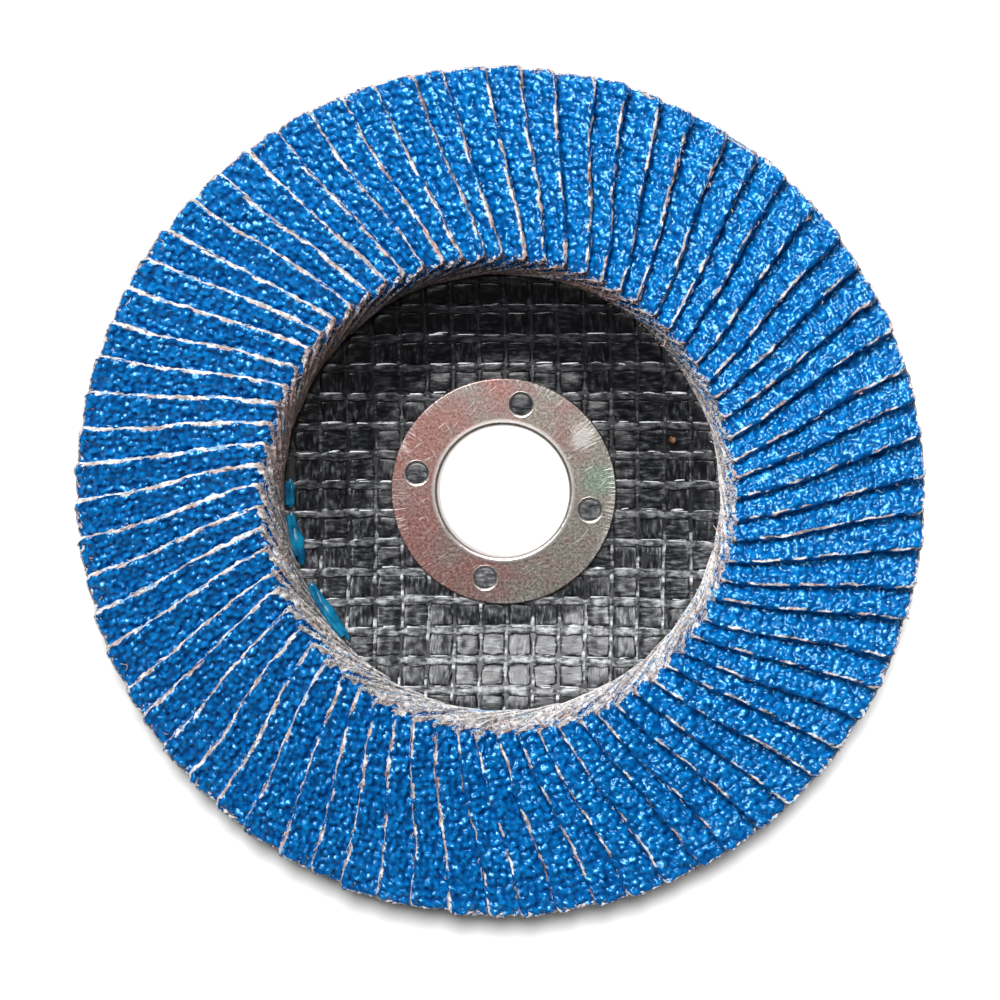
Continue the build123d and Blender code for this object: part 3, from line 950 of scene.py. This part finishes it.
def tinned_steel():
    """Dull tinned sheet with fine pits and a warm pink-brown tint that fades to grey toward +X, a painted
    reflection of the surroundings.

    On it lie a faint green patch by the rim, a painted reflection too, scuffs that are noise on the angle and
    distance about the bore, hair scratches in three directions, a pale band at the collar's edge that is
    partly wear and partly a painted highlight, and a plain rubbed patch.
    """
    material, tree, shader, place = start_material("tinned_steel")
    axes = add(tree, "SeparateXYZ", {0: place})
    x, y = axes.outputs["X"], axes.outputs["Y"]
    cloud = noise(tree, place, 210.0, 3.0, 0.6)
    # Warm pink-brown toward -X fading to grey toward +X: a painted reflection of the surroundings.
    drift = calc(tree, "MULTIPLY_ADD", cloud, 0.9, calc(tree, "MULTIPLY_ADD", x, 14.0, 0.02))
    base = ramp(tree, drift,
                (0.30, (0.31, 0.162, 0.148)), (0.48, (0.285, 0.198, 0.183)), (0.64, (0.265, 0.253, 0.222)))
    # A green patch by the rim, a painted reflection.
    from_green_patch = distance_from(tree, place, 12.2 * mm, 1.2 * mm, ring_top)
    green = ramp(tree, calc(tree, "MULTIPLY_ADD", from_green_patch, -170.0, cloud), (0.12, 0), (0.42, 0.7))
    base = blend_colours(tree, green, base, (0.21, 0.31, 0.245))
    speckle = noise(tree, place, 2900.0, 3.0, 0.75)
    worn = ramp(tree, speckle, (0.35, (0.62, 0.58, 0.56)), (0.52, 1), (0.66, (1.5, 1.5, 1.45)))
    base = blend_colours(tree, 1.0, base, worn, "MULTIPLY")

    angle = calc(tree, "ARCTAN2", y, x)
    distance = calc_vector(tree, "LENGTH", add(tree, "CombineXYZ", {0: x, 1: y}).outputs[0])
    polar = add(tree, "CombineXYZ", {0: angle, 1: distance}).outputs[0]
    slanted = {"Vector": polar, "Scale": (52.0, 420.0, 1.0), "Rotation": (0, 0, 0.2)}
    scuff = noise(tree, add(tree, "Mapping", slanted).outputs[0], 1.0, 3.0, 0.6)
    by_rim = share_between(tree, distance, 10.4 * mm, 13.8 * mm)
    spread = calc(tree, "MULTIPLY", by_rim, noise(tree, place, 240.0, 1.0))
    scuff = calc(tree, "MULTIPLY_ADD", spread, 0.55, scuff)
    marks = ramp(tree, scuff, (0.76, 0), (0.95, 0.7))
    for heading, stretch in ((1.05, 330.0), (-0.6, 420.0), (2.3, 260.0)):
        along = add(tree, "Mapping", {"Vector": place, "Rotation": (0, 0, heading)}).outputs[0]
        along = add(tree, "Mapping", {"Vector": along, "Scale": (stretch, 2900.0, 1.0)}).outputs[0]
        hair = ramp(tree, noise(tree, along, 1.0, 2.0, 0.5), (0.63, 0), (0.74, 0.5))
        marks = blend_colours(tree, 1.0, marks, hair, "LIGHTEN")
    # A pale band at the collar's edge: partly wear, partly a painted highlight.
    collar_wear_and_highlight = ramp(tree, share_between(tree, distance, 9.0 * mm, 8.5 * mm), (0.2, 0), (1.0, 0.8))
    from_rub = distance_from(tree, place, 9.5 * mm, 6.3 * mm, ring_top)
    rubbed = ramp(tree, calc(tree, "MULTIPLY_ADD", from_rub, -330.0, scuff), (0.0, 0), (0.30, 0.7))
    # The grip holes' lips read bare as pale tin, partly wear and partly a painted highlight.
    for bright in (collar_wear_and_highlight, own_number(tree, "bare"), rubbed):
        marks = blend_colours(tree, 1.0, marks, bright, "LIGHTEN")

    pits = bump(tree, speckle, 0.5, 0.03 * mm)
    feed(tree, shader, {
        "Base Color": blend_colours(tree, marks, base, (0.60, 0.57, 0.545)),
        "Metallic": 1.0,
        "Roughness": ramp(tree, speckle, (0.3, 0.30), (0.7, 0.46)),
        "Normal": bump(tree, marks, 0.5, 0.04 * mm, pits),
    })
    return material


def finish_node(node, material):
    """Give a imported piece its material."""
    slots = frame["nodes"][node].data.materials
    slots.clear()
    slots.append(material)


# Stage: white paper, two keys that leave it out, and the paper's own lamp
paper_half = 1.5
paper_drop = 0.02 * mm  # under the hub
paper_glow = 0.06
sky_strength = 0.07

# Camera, nearly square above the disc
camera_tilt_x = math.radians(3.5)
camera_tilt_y = math.radians(-4.8)
camera_distance = 300.0 * mm
camera_aim = (0, 0, 6.0 * mm)
camera_shift = (0.144 * mm, 0.836 * mm)  # of the aim, across the view
sensor_width = 36.0
focal_ratio = 2.49  # focal length in widths of the sensor


def make_floor():
    """A wide pale sheet, lit by the lamps, that meets the eye as white paper."""
    mesh = bpy.data.meshes.new("floor")
    corners = [(x * paper_half, y * paper_half, -paper_drop) for x, y in ((-1, -1), (1, -1), (1, 1), (-1, 1))]
    mesh.from_pydata(corners, [], [(0, 1, 2, 3)])
    floor = bpy.data.objects.new("floor", mesh)
    bpy.context.scene.collection.objects.link(floor)
    material, tree = empty_material("white_paper")
    rays = add(tree, "LightPath").outputs
    seen = calc(tree, "MAXIMUM", rays["Is Camera Ray"], rays["Is Glossy Ray"])
    seen = calc(tree, "MAXIMUM", seen, rays["Is Transmission Ray"])
    level = calc(tree, "MULTIPLY", seen, paper_glow)
    glow = add(tree, "Emission", {"Color": rgba(1.0), "Strength": level})
    paper = add(tree, "BsdfDiffuse", {"Color": rgba(0.86)})
    both = add(tree, "AddShader", {0: paper.outputs[0], 1: glow.outputs[0]})
    add(tree, "OutputMaterial", {"Surface": both.outputs[0]})
    mesh.materials.append(material)


def lamp(name, place, size, watts, aim=(0, 0, 0)):
    """A rectangular lamp that faces a point."""
    data = bpy.data.lights.new(name, "AREA")
    data.shape = "RECTANGLE"
    data.size, data.size_y = size
    data.energy = watts
    made = bpy.data.objects.new(name, data)
    made.location = place
    aim_line = np.array(aim) - np.array(place)
    made.rotation_euler = Vector(aim_line).to_track_quat("-Z", "Y").to_euler()
    bpy.context.scene.collection.objects.link(made)
    return made


def light_the_stage():
    """A soft key over the disc's far side, a small higher one, a pale sky, and a lamp for the paper alone.

    The two keys leave the paper out, so its only shade is what the fan of flaps casts from the paper lamp.
    """
    floor = bpy.data.objects["floor"]
    off_paper = bpy.data.collections.new("off_paper")
    off_paper.objects.link(floor)
    off_paper.collection_objects[0].light_linking.link_state = "EXCLUDE"
    disc_middle = (0, 0, 5 * mm)
    for key in (lamp("key", (-0.12, 0.36, 0.46), (0.36, 0.26), 4.4, disc_middle),
                lamp("high_key", (-0.04, 0.14, 0.61), (0.17, 0.17), 0.8, disc_middle)):
        key.light_linking.receiver_collection = off_paper

    paper = bpy.data.collections.new("paper")
    paper.objects.link(floor)
    fan = bpy.data.collections.new("fan")
    for pair in range(1, flap_count // flaps_per_node + 1):
        fan.objects.link(bpy.data.objects[f"coated_flaps_{pair:02d}"])
    paper_lamp = lamp("paper_lamp", (0.07, 0.30, 0.94), (0.22, 0.22), 13.0)
    paper_lamp.light_linking.receiver_collection = paper
    paper_lamp.light_linking.blocker_collection = fan

    world = bpy.data.worlds.new("pale_sky")
    world.use_nodes = True
    feed(world.node_tree, world.node_tree.nodes["Background"], {"Color": rgba(1.0), "Strength": sky_strength})
    bpy.context.scene.world = world


def make_camera():
    """A camera over the disc, turned a few degrees about X and then about Y."""
    facing = (Matrix.Rotation(camera_tilt_y, 3, "Y") @ Matrix.Rotation(camera_tilt_x, 3, "X")).transposed()
    back_off = facing @ Vector((-camera_shift[0], -camera_shift[1], camera_distance))
    data = bpy.data.cameras.new("camera")
    data.sensor_width = sensor_width
    data.lens = sensor_width * focal_ratio
    made = bpy.data.objects.new("camera", data)
    made.matrix_world = Matrix.LocRotScale(Vector(camera_aim) + back_off, facing, None)
    bpy.context.scene.collection.objects.link(made)
    bpy.context.scene.camera = made


def make_flaps(material):
    """All the flaps, two to a piece, each piece in place of a packed pair."""
    random = np.random.default_rng(1907)
    for pair in range(flap_count // flaps_per_node):
        skin = Skin()
        for number in range(pair * flaps_per_node, (pair + 1) * flaps_per_node):
            add_flap(skin, number, random)
        made = skin.piece(f"coated_flaps_{pair + 1:02d}", material)
        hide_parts(f"flap_pair_{pair + 1:02d}")


make_flaps(coated_cloth())
make_glass_mesh(woven_glass())
finish_node("backing_plate", dark_resin())
steel = tinned_steel()
finish_node("hub_ring", steel)
make_hole_lips(steel)
make_speck(brown_resin())
adhesive = teal_adhesive()
finish_node("adhesive_bed", adhesive)
make_glue_lumps(adhesive)
make_floor()
light_the_stage()
make_camera()
bpy.context.scene.view_settings.view_transform = "Standard"
